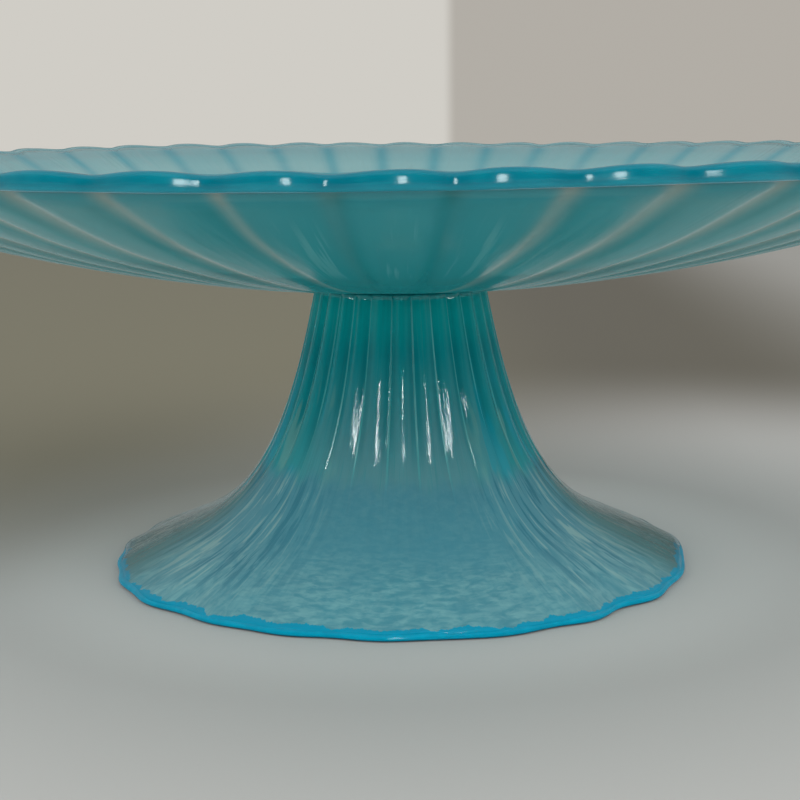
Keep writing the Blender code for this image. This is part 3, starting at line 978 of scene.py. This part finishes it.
def build_room():
    """A pale room: bright overhead and behind the stand, dim on the viewer's side,
    so the glass mirrors little there."""
    world = bpy.data.worlds.new("soft_room")
    scene.world = world
    g = Graph(world, "ShaderNodeOutputWorld")
    x, y, z = g.split(g.node("ShaderNodeTexCoord").outputs["Generated"])
    wall = g.mix((0.63, 0.61, 0.565), (0.445, 0.42, 0.38), g.ramp(x, span=(0.027, 0.036)))
    colour = g.mix(wall, (1.55, 1.53, 1.50), g.ramp(z, span=(0.12, 0.60)))
    colour = g.mix(colour, (0.2, 0.2, 0.18), g.ramp(z, span=(-0.02, -0.25)))
    colour = g.mix(colour, (0.06, 0.06, 0.058), g.ramp(y, span=(0.05, -0.75)),
                   g.ramp(z, span=(0.80, 0.35)))
    path = g.node("ShaderNodeLightPath").outputs
    colour = g.mix(colour, wall, path["Is Camera Ray"])  # the eye sees the plain wall
    strength = g.flip(g.mul(path["Is Glossy Ray"], 0.58))
    background = g.node("ShaderNodeBackground", {"Color": colour, "Strength": strength})
    g.finish(background.outputs[0])


bpy.ops.mesh.primitive_plane_add(size=14.0, location=(0, 0, 0))
floor = bpy.context.object
floor.name = "studio_floor"
floor.data.materials.append(floor_material())
build_room()

# ---- Lamps ------------------------------------------------------------------------------
LAMP_TARGET = np.array((0, 0, 0.06))


def area_lamp(name, azimuth, elevation, power, colour, distance=3.2, size=(2.56, 1.6)):
    """A rectangular lamp aimed at the stand; azimuth is 0 in front, + to the right."""
    data = bpy.data.lights.new(name, "AREA")
    data.shape = "RECTANGLE"
    data.size, data.size_y = size
    data.energy, data.color = power, colour
    lamp = bpy.data.objects.new(name, data)
    scene.collection.objects.link(lamp)
    a, e = math.radians(azimuth), math.radians(elevation)
    towards = np.array([math.sin(a) * math.cos(e), -math.cos(a) * math.cos(e), math.sin(e)])
    lamp.location = LAMP_TARGET + towards * distance
    lamp.rotation_mode = "QUATERNION"
    lamp.rotation_quaternion = Vector(towards).to_track_quat("Z", "Y")
    return lamp


def make_glint(lamp, group, pieces):
    """The lamp only shows as a reflection in the given pieces."""
    receivers = bpy.data.collections.new(group)
    for piece in pieces:
        receivers.objects.link(piece)
    lamp.light_linking.receiver_collection = receivers
    lamp.visible_diffuse = False
    lamp.data.use_shadow = False


window = area_lamp("window_glint", azimuth=6, elevation=30, power=22.0,
                   colour=(0.90, 1.0, 1.0), distance=2.4, size=(0.20, 0.72))
low_window = area_lamp("window_low", azimuth=4, elevation=5, power=22.0,
                       colour=(0.86, 1.0, 1.0), distance=2.4, size=(0.46, 0.80))
make_glint(window, "foot_side", (foot, foot_lip))
make_glint(low_window, "rims", (dish_lip, foot_lip))

# Soft lamps: name, azimuth, elevation, power, colour
SOFT_LAMPS = (
    ("left_soft", -52, 20, 46.0, (1.0, 0.98, 0.95)),
    ("right_soft", 50, 22, 48.6, (1.0, 0.99, 0.97)),
    ("front_soft", 5, 40, 30.7, (1.0, 0.99, 0.98)),
)
for settings in SOFT_LAMPS:
    area_lamp(*settings).visible_glossy = False
for piece in (dish, dish_lip):
    piece.visible_glossy = False  # the thin dish does not hide the window from the foot
scene.cycles.transparent_max_bounces = 24

# ---- Camera -----------------------------------------------------------------------------
CAMERA_PITCH, CAMERA_ROLL, CAMERA_YAW = 0.1705, -0.0094, 0.0005  # radians; pitch is down

camera_data = bpy.data.cameras.new("camera")
camera = bpy.data.objects.new("camera", camera_data)
scene.collection.objects.link(camera)
camera_data.sensor_width = 36.0
camera_data.lens = 72.3375
camera_data.clip_start = 0.01
camera.location = (-0.0002, -2.681 * DISH_R, 0.7293 * DISH_R)
camera.rotation_mode = "QUATERNION"
camera.rotation_quaternion = (Matrix.Rotation(CAMERA_YAW, 3, "Z")
                              @ Matrix.Rotation(math.pi / 2 - CAMERA_PITCH, 3, "X")
                              @ Matrix.Rotation(CAMERA_ROLL, 3, "Z")).to_quaternion()
scene.camera = camera
